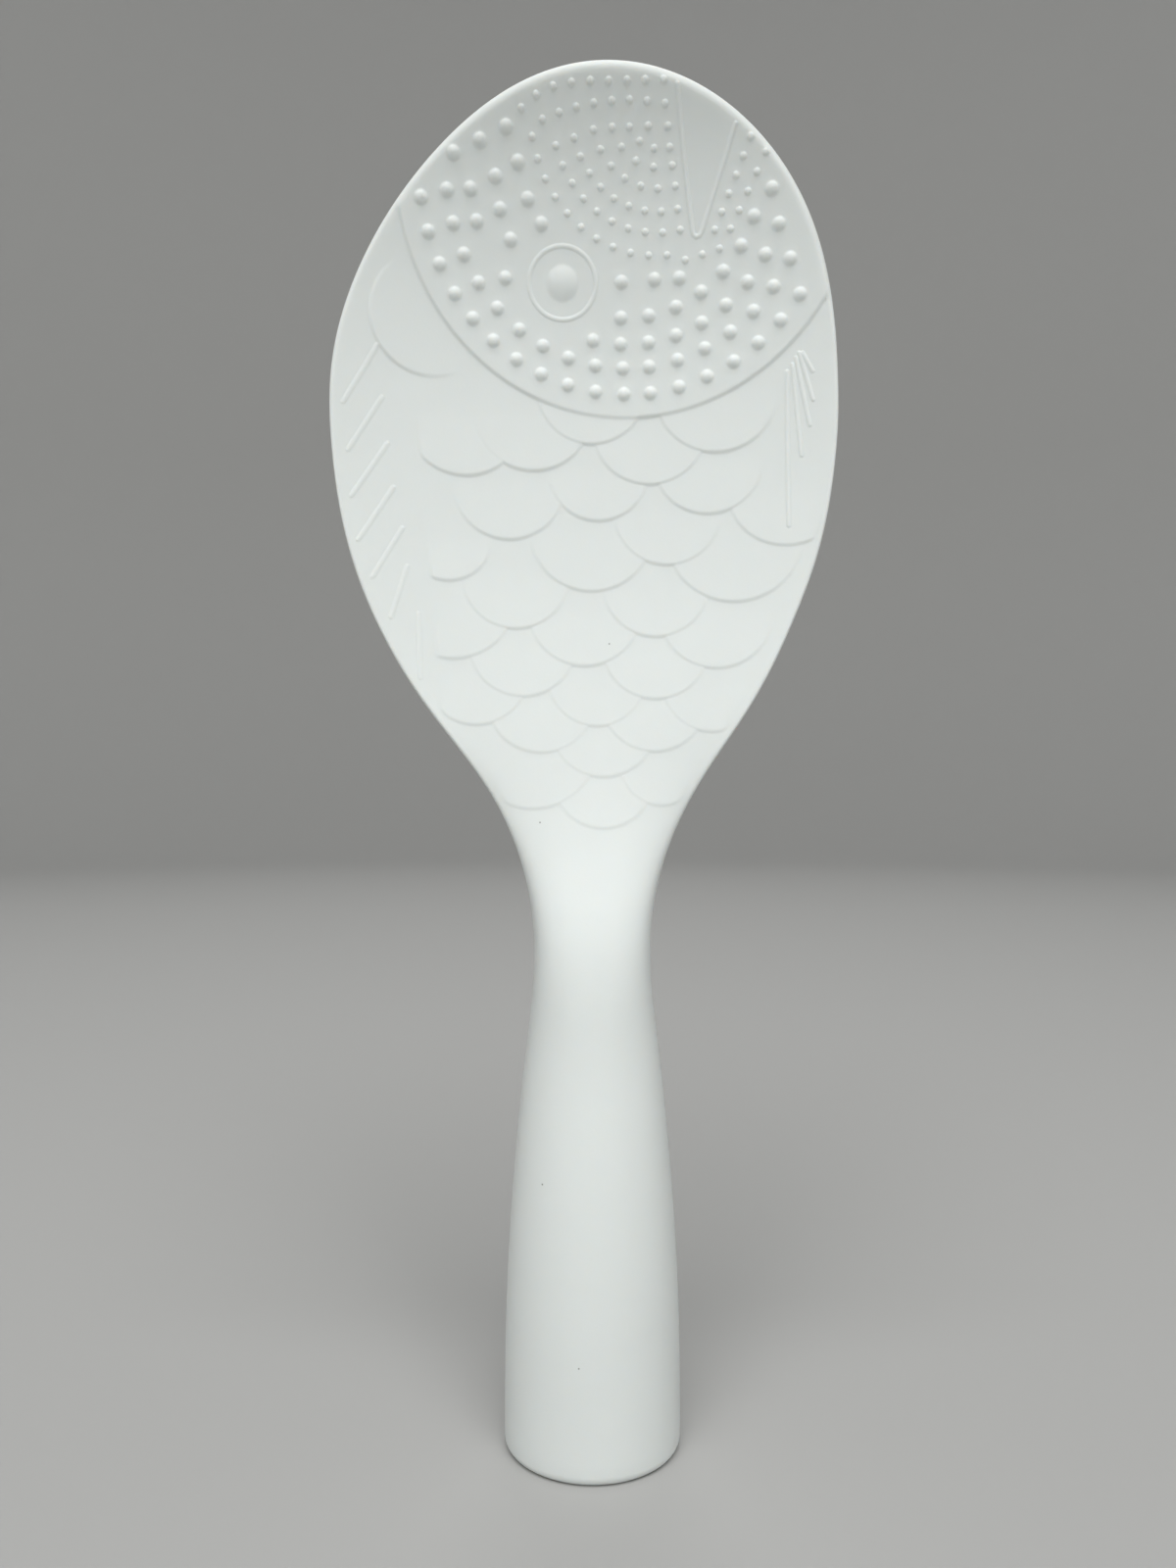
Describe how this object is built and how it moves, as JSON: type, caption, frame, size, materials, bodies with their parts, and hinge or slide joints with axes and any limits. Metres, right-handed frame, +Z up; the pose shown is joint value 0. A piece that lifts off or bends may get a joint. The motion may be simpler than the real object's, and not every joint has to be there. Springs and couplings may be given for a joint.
{
  "type": "rice paddle",
  "caption": "White plastic rice paddle with a scooped egg-shaped blade, fish relief with scales and raised dots, and a round weighted handle that stands upright on its flat base.",
  "frame": {"origin": "centre of the flat base, on its underside", "axes": "+Z up the handle to the tip of the blade, -Y out of the scooped front with the relief, +X to the right seen from the front"},
  "size_m": [0.0799, 0.027, 0.21],
  "materials": {
    "white_moulding": "satin white polypropylene with a fine moulded texture",
    "white_plug": "matte white polypropylene",
    "turned_steel": "bare turned steel"
  },
  "bodies": {
    "root": {"paddle_body": "white_moulding", "ballast_weight": "turned_steel", "base_plug": "white_plug"}
  },
  "joints": []
}
